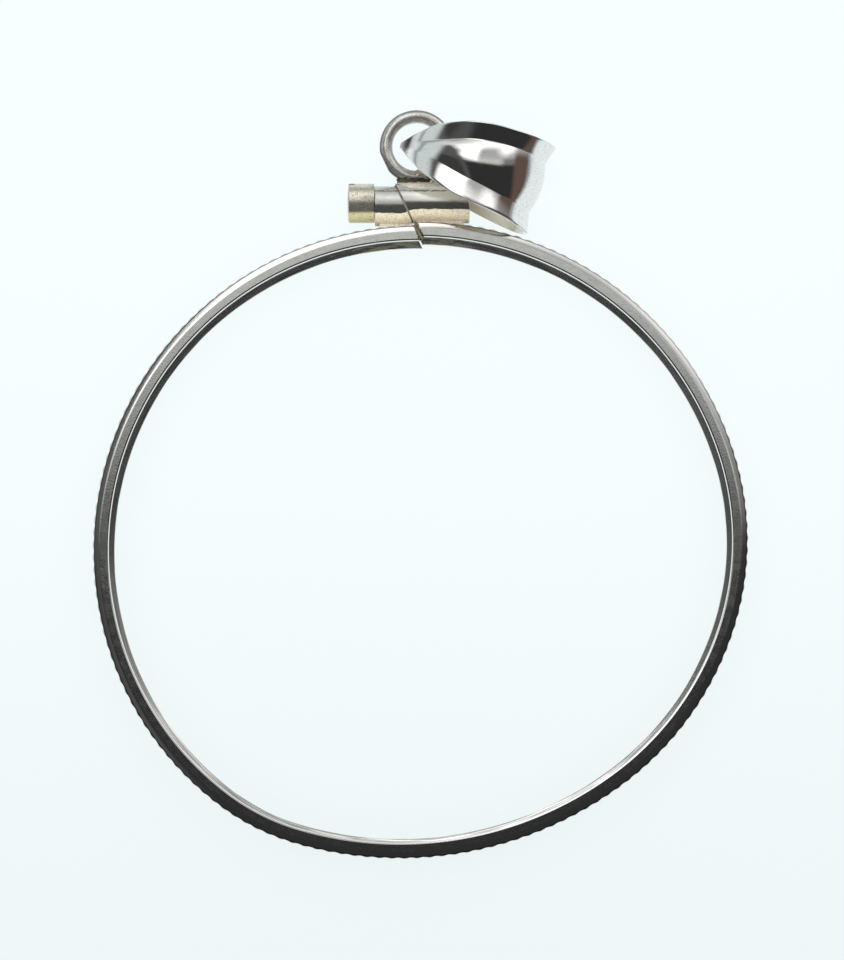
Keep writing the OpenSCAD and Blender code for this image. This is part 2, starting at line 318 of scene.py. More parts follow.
saw_point = np.array([-0.04, 18.9])
saw_across = np.array([cos(saw_lean), sin(saw_lean)])
half_cut = 0.06


def on_rim(length, beyond, arc):
    """Point beyond the rim's middle line at a length along it: the arc's centre, plus its radius
    and the distance beyond, in the direction that the length has turned to."""
    angle = start_turn[arc] + (length - lengths[arc]) / radii[arc]
    away = np.stack([np.cos(angle), np.sin(angle)], -1)
    return centres[arc] + (radii[arc] + beyond)[..., None] * away


def saw_length(beyond, arc, side):
    """Length at which the saw's plane on this side of the cut meets an arc, for each distance
    beyond the middle line: where the point's distance across the cut is half its width."""
    reach = side * half_cut - (centres[arc] - saw_point) @ saw_across
    angle = saw_lean + np.arccos(reach / (radii[arc] + beyond))
    return lengths[arc] + (angle - start_turn[arc]) * radii[arc]


def soft_corners(corners, back, lead):
    """Closed outline with each corner eased into a curve that starts and ends the distance back
    from it, as a quadratic curve with the corner as its middle point, and one more point the
    distance lead further out, so that the sides between stay flat."""
    there = np.roll(corners, 1, axis=0) - corners
    onward = np.roll(corners, -1, axis=0) - corners
    there /= np.linalg.norm(there, axis=1, keepdims=True)
    onward /= np.linalg.norm(onward, axis=1, keepdims=True)
    first, last = corners + there * back, corners + onward * back
    middle = (first + 2 * corners + last) / 4
    return np.stack([first + there * lead, first, middle, last, last + onward * lead], 1)


# Rubbed down by hand, the outer edges have no crisp bevel: the face rolls over a shoulder that
# gets steeper towards the wall, and steeper still over the reeds.
rolled = np.concatenate([np.linspace(shoulder_from, 0.3, 7),
                         [0.325, 0.345, 0.36, 0.375, 0.39, 0.41, 0.44]])
steepness = np.zeros(len(rolled))
for degrees, start, run in (
        (14.5, shoulder_from, 0.06), (5, shoulder_from + 0.06, 0.36), (15, 0.34, 0.04),
        (5, 0.38, 0.04)):
    steepness += degrees * np.clip((rolled - start) / run, 0, 1)
slope = np.tan(np.radians((steepness[1:] + steepness[:-1]) / 2))
fallen = np.concatenate([[0], np.cumsum(slope * np.diff(rolled))])
front = np.stack([rolled, half_h - fallen], -1)
front = np.vstack([[shoulder_from - 0.012, half_h], front])
wall_top = half_h - fallen[-1] - 0.03
back_edge = -half_w - back_reach
corners = np.array([  # [beyond the middle line, height, how far back it is eased]
    [front_edge, half_h, .09], [shoulder_from, half_h, .01], [half_w, wall_top, .015],
    [half_w, -wall_top, .015], [shoulder_from, -half_h, .01], [back_edge, -half_h, .035],
    [back_edge, -groove - back_taper, .03], [-0.22, -groove, .06], [seat, -groove, .02],
    [seat, groove, .02], [front_edge, groove, .03]])
eased = soft_corners(corners[:, :2], corners[:, 2:], 0.012)
outline = np.vstack([eased[0], front, eased[2][2:], eased[3][:3], front[::-1] * (1, -1),
                     *eased[5:]])
s_first, s_last = saw_length(0.0, 0, -1), saw_length(0.0, 6, 1)
marks_s = np.arange(reeds * reed_steps + 1) * pitch / reed_steps
marks_s = marks_s[(marks_s > s_first + 0.03) & (marks_s < s_last - 0.03)]
along = np.concatenate([[s_first, s_first + 0.012], marks_s, [s_last - 0.012, s_last]])
# A reed's tip is a narrow flat, and between two tips a round cutter has left a notch.
phase = np.abs((along / pitch + 0.5) % 1 - 0.5)
flat_tip = 0.17
notch = np.sin(np.clip((phase - flat_tip) / (0.5 - flat_tip), 0, 1) * pi / 2) ** 0.85
wall = half_w - reed_h * notch
beyond = np.minimum(outline[None, :, 0], wall[:, None])
arc = np.clip(np.searchsorted(lengths, along, side="right") - 1, 0, len(radii) - 1)
# Within this length of the cut the sections lean over until the last lies in the saw's plane.
lean_over = 3
ease_in = np.clip(1 - (along - s_first) / lean_over, 0, 1)[:, None]
ease_out = np.clip(1 - (s_last - along) / lean_over, 0, 1)[:, None]
length = along[:, None] + ease_in * (saw_length(beyond, 0, -1) - s_first) \
    + ease_out * (saw_length(beyond, 6, 1) - s_last)
flat_xy = on_rim(length, beyond, np.broadcast_to(arc[:, None], length.shape))
height = np.broadcast_to(outline[None, :, 1], length.shape)
rim_points = np.concatenate([flat_xy, height[..., None]], -1)
# Marks the groove's inside, up to just within the lip's edge, for painted shade.
inside = (np.abs(height) < groove + 0.001) * np.clip((beyond + 0.32) / 0.1, 0, 1)
# Marks where a near-black line is painted along the shoulder's foot: a painted dark reflection.
outer = np.exp(-((beyond - line_at) / line_half) ** 2)
lip = (height < -groove + 0.01) * np.clip((-0.12 - beyond) / 0.05, 0, 1)
to_cut = np.abs((rim_points[..., :2] - saw_point) @ saw_across)
to_cut = np.where(rim_points[..., 1] > 15, to_cut, 9.0)  # the saw's line crosses the bottom too
rim = add_grid("rim", rim_points, "flat", {
    "groove_shade": inside, "outer": outer, "to_cut": to_cut, "lip": lip, "across": beyond,
    "round": along[:, None]}, sharp=50)


def fine_scratches():
    """Height of thin scratches in two crossing directions: noise that is stretched along each
    direction, of which only the narrow crests are kept. Place is millimetres."""
    tree, given, out = new_group("fine scratches", [
        ("Vector", "Place"), ("Float", "Spacing", 0.1), ("Float", "Share", 0.4)],
        [("Float", "Height")])
    near = maths(tree, "DIVIDE", 1.0, given["Spacing"])
    total = None
    for turned, stretch in ((0.6, 16), (-0.9, 11)):
        spun = put(tree, "VectorRotate", {"Vector": given["Place"], "Angle": turned},
                   rotation_type="Z_AXIS").outputs[0]
        thin = vectors(tree, "MULTIPLY", spun, (1 / stretch, 1, 1))
        noise = put(tree, "TexNoise", {"Vector": vectors(tree, "SCALE", thin, Scale=near),
                                       "Scale": 1.0, "Detail": 2.0})
        crest = fade(tree, noise.outputs[0], 0.54, 0.66)
        total = crest if total is None else maths(tree, "MAXIMUM", total, crest)
    tree.links.new(times(tree, total, given["Share"]), out["Height"])
    return tree


def cloudiness():
    """Soft patches and fine grain: noise of two sizes, each spread to go from 0 to 1. Place is
    millimetres."""
    tree, given, out = new_group("cloudiness", [
        ("Vector", "Place"), ("Float", "Patch", 0.6), ("Float", "Grain", 0.08)],
        [("Float", "Cloud"), ("Float", "Grit")])
    for size, label, detail in (("Patch", "Cloud", 4.0), ("Grain", "Grit", 2.0)):
        scaled = maths(tree, "DIVIDE", 1.0, given[size])
        noise = put(tree, "TexNoise", {"Vector": given["Place"], "Scale": scaled,
                                       "Detail": detail, "Roughness": 0.6})
        tree.links.new(fade(tree, noise.outputs[0], 0.3, 0.7), out[label])
    return tree


def broken_stain():
    """Share of a stain, given how strongly it should lie there from 0 to 1: noise decides where
    its edge breaks up into blots. Place is millimetres."""
    tree, given, out = new_group("broken stain", [
        ("Vector", "Place"), ("Float", "Strength"), ("Float", "Blot", 0.25),
        ("Float", "Edge", 0.15)], [("Float", "Mask")])
    scaled = maths(tree, "DIVIDE", 1.0, given["Blot"])
    noise = put(tree, "TexNoise", {"Vector": given["Place"], "Scale": scaled, "Detail": 5.0,
                                   "Roughness": 0.65}).outputs[0]
    level = maths(tree, "SUBTRACT", 1.0, given["Strength"])
    low = maths(tree, "SUBTRACT", level, given["Edge"])
    high = maths(tree, "ADD", level, given["Edge"])
    spread = fade(tree, noise, 0.25, 0.75)
    tree.links.new(fade(tree, spread, low, high), out["Mask"])
    return tree


scratches, clouds, stain = fine_scratches(), cloudiness(), broken_stain()


def mark_of(tree, name):
    """Number kept on the mesh by this name."""
    return put(tree, "Attribute", attribute_name=name, attribute_type="GEOMETRY").outputs["Fac"]


def bump(tree, shader, height, depth):
    """Feeds the shader's normal from a height, with depth in millimetres."""
    made = put(tree, "Bump", {"Height": height, "Strength": 1.0, "Distance": depth * 0.001})
    tree.links.new(made.outputs[0], shader.inputs["Normal"])


silver = (0.80, 0.805, 0.79)
flux_pink = (0.90, 0.82, 0.76)
olive_brown = (0.17, 0.14, 0.085)
satin, tree, shader = new_material("satin silver", Metallic=1.0)
mm = place_mm(tree)
cloud = use(tree, clouds, Place=mm, Patch=0.5, Grain=0.07)
lines = use(tree, scratches, Place=mm, Spacing=0.05, Share=0.6)["Height"]
colour = over(tree, times(tree, cloud["Cloud"], 0.5), silver, (0.72, 0.715, 0.70))
colour = over(tree, times(tree, cloud["Grit"], 0.35), colour, (0.66, 0.66, 0.64))
at = put(tree, "SeparateXYZ", {0: mm}).outputs
# Pink flux lies on the face next to the tube.
near_tube = times(tree, fade(tree, at[1], 18.85, 19.15),
                  fade(tree, maths(tree, "ABSOLUTE", at[0]), 3.2, 2.4))
flux = use(tree, stain, Place=mm, Strength=times(tree, near_tube, 0.75), Blot=0.3)["Mask"]
colour = over(tree, flux, colour, flux_pink)
# A thin near-black line is painted where the shoulder meets the reeds: a painted dark reflection.
colour = over(tree, times(tree, mark_of(tree, "outer"), 0.96), colour, (0.05, 0.05, 0.045))
# Painted shade: the groove's inside is painted dark grey.
colour = over(tree, times(tree, mark_of(tree, "groove_shade"), 0.85), colour, (0.20, 0.20, 0.19))
# The back lip keeps the lines of the lathe, and soldering stained it olive behind the tube.
turned = put(tree, "CombineXYZ", {0: times(tree, mark_of(tree, "across"), 24.0),
                                  1: times(tree, mark_of(tree, "round"), 0.3)}).outputs[0]
grooves = put(tree, "TexNoise", {"Vector": turned, "Scale": 1.0, "Detail": 3.0})
grooves = times(tree, fade(tree, grooves.outputs[0], 0.42, 0.54), mark_of(tree, "lip"))
colour = over(tree, grooves, colour, (0.32, 0.32, 0.31))
behind = times(tree, fade(tree, maths(tree, "ABSOLUTE", at[0]), 6.0, 2.0), mark_of(tree, "lip"))
smeared = vectors(tree, "MULTIPLY", turned, (0.2, 2.2, 1.0))
olive = use(tree, stain, Place=smeared, Strength=times(tree, behind, 0.5), Blot=1.0,
            Edge=0.35)["Mask"]
olive = times(tree, olive, fade(tree, at[1], 15.0, 17.0))
colour = over(tree, olive, colour, (0.30, 0.30, 0.20))
metal = maths(tree, "SUBTRACT", fade(tree, olive, 0, 1, 1.0, 0.5), times(tree, grooves, 0.22))
by_cut = use(tree, stain, Place=mm, Strength=fade(tree, mark_of(tree, "to_cut"), 0.30, 0.05),
             Blot=0.12)["Mask"]
colour = over(tree, by_cut, colour, olive_brown)
roughness = fade(tree, cloud["Cloud"], 0, 1, 0.08, 0.13)
roughness = maths(tree, "ADD", roughness, times(tree, by_cut, 0.3))
finish_with(tree, shader, Base_Color=colour, Roughness=roughness, Metallic=metal)
bump(tree, shader, maths(tree, "ADD", times(tree, lines, 0.6), cloud["Grit"]), 0.0007)
rim.data.materials.append(satin)
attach(rim, "bezel")
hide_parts("bezel")


# Tube: a short length of thick silver tube soldered along the outside of the rim, then sawn in
# two with it. The screw turns freely in the left half, and the right half is tapped. The two have
# sprung a little out of line. Soldering left yellow and pink flux on its lower side, whose pale
# colour there is partly painted light, and its upper side is painted paler as painted light.
tube_r = 1.225
tube_left, tube_right = -2.66, 3.12
screw_y, half_step = 20.76, 0.18
clear_r, tapped_r = 0.85, 0.63
thread, tap_cut, thread_cut = 0.25, 0.02, 0.045  # pitch, and half the depth in hole and screw


def saw_x(y, side):
    """Place along X of the saw's plane on this side of the cut, at each height y."""
    return saw_point[0] + (side * half_cut - sin(saw_lean) * (y - saw_point[1])) / cos(saw_lean)


def half_tube(profile, axis_y, start, end, threaded):
    """Points of a profile carried round the tube's axis. A profile point is a share of the way
    from the start to the end, which are functions of y, a distance on from there, and a radius.
    In a threaded hole the radius follows a cosine along a helix."""
    turn = full_turn(96)[:, None]
    share, further, radius = profile.T
    y = axis_y + radius * np.cos(turn)
    x = start(y) + (end(y) - start(y)) * share + further
    if threaded:
        cut_in = tap_cut * (1 + np.cos(2 * pi * x / thread - turn)) * (radius < tapped_r + 0.01)
        radius = radius + cut_in
        y = axis_y + radius * np.cos(turn)
    return np.stack([x, y, radius * np.sin(turn)], -1)


def tube_profile(hole, free_end):
    """Outline of a half tube's wall: eased at its free end, and crisp where it was sawn. The hole
    has many rows at the right end, where its thread shows."""
    free = [[0, .03, hole], [0, 0, hole + .03], [0, 0, tube_r - .06], [0, .017, tube_r - .017],
            [0, .06, tube_r], [0, .08, tube_r]]
    sawn = [[1, -.03, tube_r], [1, -.01, tube_r], [1, 0, tube_r - .01], [1, 0, tube_r - .03],
            [1, 0, hole + .02], [1, 0, hole], [1, -.03, hole]]
    if free_end == "left":
        return np.array(free + sawn)
    mirrored = [[1 - share, -further, radius] for share, further, radius in sawn[::-1] + free[::-1]]
    shown = [[1, -reach, hole] for reach in np.arange(0.03, 1.0, thread / 6)]
    return np.array(mirrored[:-1] + shown)


tubes = []
for side, hole, axis_y, begin, finish in (
        ("left", clear_r, screw_y - half_step, lambda y: tube_left, lambda y: saw_x(y, -1)),
        ("right", tapped_r, screw_y, lambda y: saw_x(y, 1), lambda y: tube_right)):
    points = half_tube(tube_profile(hole, side), axis_y, begin, finish, side == "right")
    tubes.append(add_grid("tube_" + side, points, "joined"))

flux_yellow = (0.90, 0.84, 0.60)
flux_and_light_silver, tree, shader = new_material("fluxed silver with painted light", Metallic=1.0)
mm = place_mm(tree)
cloud = use(tree, clouds, Place=mm, Patch=0.45, Grain=0.06)
at = put(tree, "SeparateXYZ", {0: mm}).outputs
colour = over(tree, cloud["Cloud"], (0.57, 0.57, 0.55), (0.49, 0.49, 0.465))
# Painted light: its upper side is painted paler, most of all at the right.
painted_top_light = times(tree, fade(tree, at[0], -1.0, 1.0, 0.0, 0.8), fade(tree, at[1], 20.6, 20.9))
colour = over(tree, painted_top_light, colour, (0.95, 0.955, 0.87))
# The crust ends in a ragged line that lies a little higher at the right.
crust_top = fade(tree, at[0], -1.2, 0.0, 20.0, 20.24)
ragged = times(tree, maths(tree, "SUBTRACT", cloud["Cloud"], 0.5), 0.06)
below = maths(tree, "SUBTRACT", maths(tree, "ADD", at[1], ragged), crust_top)
flux_and_low_light = fade(tree, below, 0.035, -0.035)
mottles = use(tree, clouds, Place=mm, Patch=0.3, Grain=0.09)
# Partly painted light: the lower side's pale yellow and pink stands for real flux and also for the
# light this side catches from the pale surroundings low down.
flux_and_low_light_colour = over(tree, fade(tree, mottles["Cloud"], 0.45, 1.0), flux_yellow, flux_pink)
flux_and_low_light_colour = over(tree, times(tree, mottles["Grit"], 0.45), flux_and_low_light_colour, (0.72, 0.67, 0.54))
crumbs = use(tree, stain, Place=mm, Strength=0.4, Blot=0.09, Edge=0.08)["Mask"]
flux_and_low_light_colour = over(tree, times(tree, crumbs, 0.6), flux_and_low_light_colour, (0.50, 0.42, 0.26))
colour = over(tree, flux_and_low_light, colour, flux_and_low_light_colour)
# Burnt specks lie in a line along its top.
line = times(tree, fade(tree, at[1], 21.27, 21.36), fade(tree, at[1], 21.49, 21.42))
dots = use(tree, stain, Place=mm, Strength=times(tree, line, 0.62), Blot=0.13, Edge=0.08)["Mask"]
colour = over(tree, dots, colour, (0.25, 0.23, 0.19))
roughness = fade(tree, cloud["Cloud"], 0, 1, 0.14, 0.24)
roughness = maths(tree, "ADD", roughness, times(tree, flux_and_low_light, 0.3))
bare = fade(tree, at[1], 20.6, 20.9, 0.94, 0.6)
finish_with(tree, shader, Base_Color=colour, Roughness=roughness,
            Metallic=fade(tree, flux_and_low_light, 0, 1, bare, 0.05))
crust = times(tree, flux_and_low_light, mottles["Grit"])
bump(tree, shader, maths(tree, "ADD", crust, times(tree, cloud["Grit"], 0.12)), 0.012)
for half in tubes:
    half.data.materials.append(flux_and_light_silver)
    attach(half, "bezel")
    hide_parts("bezel")


# Residue: brown polishing paste and burnt flux that have packed into the saw cut, all round the
# tube's wall and in the rim's front lip, and stay there because the cut is so narrow.
packed_side = 0.95  # share of the cut's width that is filled
paste_turn = full_turn(72)[:, None]
paste_r = np.array([1.13, 1.13, 0.89, 0.89])
paste_y = screw_y - half_step / 2 + paste_r * np.cos(paste_turn)
paste_x = saw_x(paste_y, packed_side * np.array([-1, 1, 1, -1]))
paste_points = np.stack([paste_x, paste_y, paste_r * np.sin(paste_turn)], -1)
paste = [add_grid("residue_tube", paste_points, "joined")]
block_y = np.array([18.34, 19.08, 19.08, 18.34])
block_z = np.array([1.57, 1.53, 1.28, 1.28])
block = np.stack([np.stack([saw_x(block_y, side * packed_side), block_y, block_z], -1)
                  for side in (-1, 1)])
paste.append(add_grid("residue_rim", block, "flat"))

packed, tree, shader = new_material("packed residue", Metallic=0.0, IOR=1.5)
cloud = use(tree, clouds, Place=place_mm(tree), Patch=0.25, Grain=0.05)
colour = over(tree, cloud["Cloud"], (0.16, 0.135, 0.09), (0.30, 0.27, 0.20))
finish_with(tree, shader, Base_Color=colour, Roughness=fade(tree, cloud["Grit"], 0, 1, 0.5, 0.8))
bump(tree, shader, cloud["Grit"], 0.02)
for piece in paste:
    piece.data.materials.append(packed)
    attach(piece, "bezel")
    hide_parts("bezel")


# Solder beds: hard silver solder that ran between the rim's wall and each half of the tube, and
# set in a hollow fillet, wider at the rim. It holds the tube on.
def lumps(points, size, seed):
    """Smooth unevenness between about -1 and 1: the mean of 14 sine waves, made 2.2 times as
    high, whose directions and phases are drawn once from the seed."""
    draw = np.random.default_rng(seed)
    ways = draw.normal(size=(3, 14)) / size
    return np.sin(points @ ways + draw.uniform(0, 2 * pi, 14)).mean(-1) * 2.2


def solder_bed(start, end, foot_y, top_y, seed):
    """Bar of solder: a section whose half width shrinks from foot to top as a power of the height,
    carried from the start to the end, which are functions of y, and made uneven by lumps."""
    rise = np.linspace(0, 1, 12)
    half = bed_half + bed_flare * (1 - rise) ** 2.2
    section = np.concatenate([np.stack([rise, half], -1), np.stack([rise, -half], -1)[::-1]])
    share = np.linspace(0, 1, 60)[:, None]
    y = foot_y + (top_y - foot_y) * section[:, 0] + 0 * share
    x = start(y) + (end(y) - start(y)) * share
    z = np.broadcast_to(section[:, 1], y.shape)
    points = np.stack([x, y, z], -1)
    return points + lumps(points, 0.16, seed)[..., None] * np.array([0, 0, 0.03])


bed_half, bed_flare, bed_short = 0.40, 0.42, 0.3
bed_foot, bed_top = 0.13, 1.0  # from the rim's middle line, and from the tube's axis
left_end_y, right_end_y = centres[0][1] + radii[0], centres[-1][1] + radii[-1]
beds = []
for side, seed, end_y, axis_y, begin, finish in (
        ("left", 4, left_end_y, screw_y - half_step,
         lambda y: tube_left + bed_short, lambda y: saw_x(y, -1)),
        ("right", 5, right_end_y, screw_y,
         lambda y: saw_x(y, 1), lambda y: tube_right - bed_short)):
    points = solder_bed(begin, finish, end_y + bed_foot, axis_y - bed_top, seed)
    beds.append(add_grid("solder_bed_" + side, points, "flat"))

solder, tree, shader = new_material("hard solder", Metallic=0.3)
mm = place_mm(tree)
cloud = use(tree, clouds, Place=mm, Patch=0.22, Grain=0.04)
blots = use(tree, stain, Place=mm, Strength=0.45, Blot=0.12)["Mask"]
colour = over(tree, cloud["Cloud"], (0.95, 0.94, 0.90), flux_pink)
colour = over(tree, blots, colour, (0.74, 0.69, 0.54))
finish_with(tree, shader, Base_Color=colour, Roughness=fade(tree, cloud["Grit"], 0, 1, 0.14, 0.38))
bump(tree, shader, maths(tree, "ADD", cloud["Cloud"], cloud["Grit"]), 0.02)
for bed in beds:
    bed.data.materials.append(solder)
    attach(bed, "bezel")
    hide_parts("bezel")


# Loop: a jump ring of round silver wire, soldered upright on the right half of the tube. Its foot
# is filed flat, and the saw that split the tube has grazed its lower left side.
loop_centre = np.array([-0.11, 24.245])
loop_r, wire_r = 1.87, 0.4
foot_y = 22.2
ring_turn, wire_turn = full_turn(224)[:, None], full_turn(48)[None, :]
# A blob of solder swells the outer side of the foot.
blob = np.exp(-(((ring_turn - radians(285)) / 0.26) ** 4)) * np.clip(-np.cos(wire_turn), 0, 1)
swirl = np.stack(np.broadcast_arrays(9 * ring_turn, 3 * np.cos(wire_turn),
                                     3 * np.sin(wire_turn)), -1)
radius = wire_r * (1 + blob * (0.22 + 0.16 * lumps(swirl, 0.5, 5)))
out_r = loop_r + radius * np.cos(wire_turn)
loop_points = np.stack([loop_centre[0] + out_r * np.cos(ring_turn),
                        loop_centre[1] + out_r * np.sin(ring_turn),
                        radius * np.sin(wire_turn)], -1)
short = half_cut - (loop_points[..., :2] - saw_point) @ saw_across
loop_points[..., :2] += np.clip(short, 0, None)[..., None] * saw_across
low = foot_y - loop_points[..., 1]
loop_points[..., 1] = np.maximum(loop_points[..., 1], foot_y)
filed = np.exp(-(np.clip(-np.maximum(short, low), 0, None) / 0.12) ** 2)
flank = np.clip((0.84 - np.abs(np.sin(wire_turn))) / 0.22, 0, 1) * (np.cos(wire_turn) > 0)
loop = add_grid("loop", loop_points, "joined", {"blob": blob, "filed": filed, "flank": flank},
                sharp=45)

drawn, tree, shader = new_material("drawn silver wire", Metallic=0.86)
mm = place_mm(tree)
cloud = use(tree, clouds, Place=mm, Patch=0.35, Grain=0.05)
lines = use(tree, scratches, Place=mm, Spacing=0.05, Share=0.7)["Height"]
colour = over(tree, cloud["Cloud"], (0.66, 0.65, 0.63), (0.52, 0.51, 0.49))
# The outer flank of the wire is darkened to near black.
colour = over(tree, times(tree, mark_of(tree, "flank"), 0.88), colour, (0.08, 0.077, 0.073))
blobbed = fade(tree, mark_of(tree, "blob"), 0.05, 0.4)
specks = use(tree, stain, Place=mm, Strength=times(tree, blobbed, 0.6), Blot=0.1)["Mask"]
colour = over(tree, specks, colour, (0.60, 0.53, 0.38))
# Near the filed foot and the saw's graze the wire is darkened in streaks: dirt in the strokes of
# the file and the saw, and painted shade where the foot sits on the solder.
cut_dirt_and_foot_shade = use(tree, stain, Place=vectors(tree, "MULTIPLY", mm, (1.0, 3.2, 1.0)),
           Strength=times(tree, mark_of(tree, "filed"), 0.62), Blot=0.3)["Mask"]
colour = over(tree, cut_dirt_and_foot_shade, colour, (0.05, 0.045, 0.035))
roughness = maths(tree, "ADD", fade(tree, cloud["Grit"], 0, 1, 0.12, 0.22),
                  times(tree, blobbed, 0.15))
finish_with(tree, shader, Base_Color=colour, Roughness=roughness)
bump(tree, shader, maths(tree, "ADD", times(tree, blobbed, cloud["Cloud"]),
                         times(tree, maths(tree, "ADD", lines, cut_dirt_and_foot_shade), 0.12)), 0.03)
loop.data.materials.append(drawn)
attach(loop, "bezel")
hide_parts("bezel")


# Solder under the loop: a narrow neck that fills the gap under the filed foot, coloured near black
# as painted shade in that gap, and a bright skirt that ran out along the tube's top.
neck_x, neck_long, neck_wide = -0.28, 1.04, 0.33
neck_rise = np.array([21.80, 21.95, 22.02, 22.10, 22.18, 22.24, 22.27])[:, None]
neck_size = np.array([1.16, 1.06, 1.0, 0.97, 1.0, 1.04, 0.98])[:, None]
turn = full_turn(72)
neck_points = np.stack([
    neck_x + neck_long * neck_size * np.cos(turn),
    neck_rise + 0 * turn,
    neck_wide * neck_size * np.sign(np.sin(turn)) * np.abs(np.sin(turn)) ** 0.7], -1)
neck_points = neck_points + lumps(neck_points, 0.12, 8)[..., None] * np.array([0.03, 0, 0.03])
neck = add_grid("solder_neck", neck_points, "flat")

# The skirt lies on the tube as a low lens, which two skins from pole to edge close.
skirt_x, skirt_long, skirt_round, skirt_rise = 0.05, 1.4, 0.88, 0.07
spread = np.sin(np.linspace(0, pi / 2, 22))[:, None]
turn = full_turn(96)[None, :]
x = skirt_x + skirt_long * spread * np.cos(turn)
lean = skirt_round * spread * np.sin(turn)
bulge = skirt_rise * (1 - spread ** 2) ** 0.6 + 0.004
skin = np.stack(np.broadcast_arrays(x, 3 * lean, bulge), -1)
bulge = bulge * (1 + 0.5 * lumps(skin, 0.22, 3)) + 0.03 * np.clip(lumps(skin, 0.12, 4), 0, 1) \
    * (1 - spread ** 2)
top, bottom = (np.stack([x, screw_y + r * np.cos(lean), r * np.sin(lean)], -1)
               for r in (tube_r + bulge, tube_r - 0.08))
skirt = add_grid("solder_skirt", np.concatenate([top, bottom[::-1]]), "pole")

# The neck's near-black colour is painted shade: the gap under the loop's foot.
gap_shade, tree, shader = new_material("painted gap shade", Metallic=0.0, IOR=1.5)
mm = place_mm(tree)
cloud = use(tree, clouds, Place=mm, Patch=0.2, Grain=0.04)
colour = over(tree, cloud["Cloud"], (0.012, 0.011, 0.009), (0.10, 0.085, 0.05))
finish_with(tree, shader, Base_Color=colour, Roughness=fade(tree, cloud["Grit"], 0, 1, 0.35, 0.7))
bump(tree, shader, cloud["Grit"], 0.03)
neck.data.materials.append(gap_shade)
skirt.data.materials.append(solder)
for piece in (neck, skirt):
    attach(piece, "bezel")
    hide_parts("bezel")


# Screw: turned from brass-coloured metal, with a plain round head that is slotted in its domed
# end, and a threaded shank that runs through the left half of the tube into the right.
head_r, head_from, head_to = 1.2, -4.35, -2.69
dome, head_ease = 0.08, 0.09
dome_r = (head_r ** 2 + dome ** 2) / (2 * dome)
slot_half, slot_deep, slot_turn = 0.16, 0.45, radians(20)
shank_r, shank_tip_r, shank_to = 0.6, 0.42, 2.62


def ease_edge(r, reach):
    """How far a face drops near its rim: a quarter circle of radius reach."""
    past = np.clip((r - (head_r - reach)) / reach, 0, 1)
    return reach * (1 - np.sqrt(1 - past ** 2))


# The head's face is a grid whose rows run along the slot, closer together towards the edge.
half_side = np.sin(np.linspace(0, pi / 2, 18))[1:] * head_r
outside_slot = np.concatenate([[slot_half], half_side[half_side > slot_half + 0.02]])
across = np.concatenate([-outside_slot[::-1], [-slot_half, -0.08, 0, 0.08, slot_half],
                         outside_slot])
chord = np.sqrt(np.clip(head_r ** 2 - across ** 2, 0, None))
share = np.sin(np.linspace(-pi / 2, pi / 2, 41))
b = chord[:, None] * share
a = np.broadcast_to(across[:, None], b.shape)
r = np.hypot(a, b)
x = head_from + r ** 2 / (2 * dome_r) + ease_edge(r, head_ease)
in_slot = slice(len(outside_slot), -len(outside_slot))
x[in_slot] = head_from + slot_deep
face_index = np.arange(b.size).reshape(b.shape)
ring = np.concatenate([face_index[:, -1], face_index[-1, -2:0:-1], face_index[::-1, 0],
                       face_index[0, 1:-1]])


def about_screw(x, a, b):
    """Points from distances along the screw's axis, across its slot and along its slot."""
    y = screw_y + b * cos(slot_turn) - a * sin(slot_turn)
    z = b * sin(slot_turn) + a * cos(slot_turn)
    return np.stack(np.broadcast_arrays(x, y, z), -1)


face = about_screw(x, a, b).reshape(-1, 3)
head_edge = face[ring]
angle = np.arctan2(head_edge[:, 2], head_edge[:, 1] - screw_y)
rows = [head_edge]
for share_down in (0.5, 1.0):
    row = head_edge.copy()
    row[:, 0] += (head_to - 0.05 - row[:, 0]) * share_down
    rows.append(row)
# The thread is a cosine cut into the shank, which is left plain for a short way from the head.
shank_x = np.arange(head_to, shank_to - 0.1, thread / 8)
cut_in = thread_cut * np.clip((shank_x - head_to - 0.5) / 0.2, 0, 1)
for x_row, r_row, depth in [
        (head_to - 0.015, head_r - 0.015, 0), (head_to, head_r - 0.05, 0), (head_to, shank_r, 0),
        *zip(shank_x, [shank_r] * len(shank_x), cut_in), (shank_to, shank_tip_r, 0)]:
    radius = r_row - depth * (1 - np.cos(2 * pi * x_row / thread - angle))
    rows.append(np.stack([np.full(len(angle), x_row), screw_y + radius * np.cos(angle),
                          radius * np.sin(angle)], -1))
sides = np.stack(rows)
n_rows, n_ring = sides.shape[:2]
start = len(face)
# The face's grid runs the other way round than the sides do, so its faces are turned.
quads = np.vstack([grid_quads(*b.shape)[:, [0, 3, 2, 1]],
                   grid_quads(n_rows, n_ring, close_columns=True) + start])
last_ring = np.arange(n_ring)[::-1] + start + (n_rows - 1) * n_ring
screw = add_mesh("screw_turned", np.vstack([face, sides.reshape(-1, 3)]), quads, [last_ring],
                 sharp=35)

turned, tree, shader = new_material("tarnished screw metal, painted lighter below", Metallic=1.0)
mm = place_mm(tree)
cloud = use(tree, clouds, Place=mm, Patch=0.5, Grain=0.05)
at = put(tree, "SeparateXYZ", {0: mm}).outputs
# Painted light: the lower side is painted a brighter yellow, for the light it catches from the pale
# surroundings low down.
colour = over(tree, fade(tree, at[1], 20.3, 19.9), (0.66, 0.635, 0.54), (0.82, 0.745, 0.42))
colour = over(tree, times(tree, cloud["Cloud"], 0.3), colour, (0.66, 0.60, 0.50))
pits = use(tree, stain, Place=mm, Strength=0.17, Blot=0.08, Edge=0.05)["Mask"]
colour = over(tree, pits, colour, (0.12, 0.10, 0.08))
roughness = maths(tree, "ADD", fade(tree, cloud["Cloud"], 0, 1, 0.20, 0.30),
                  times(tree, pits, 0.3))
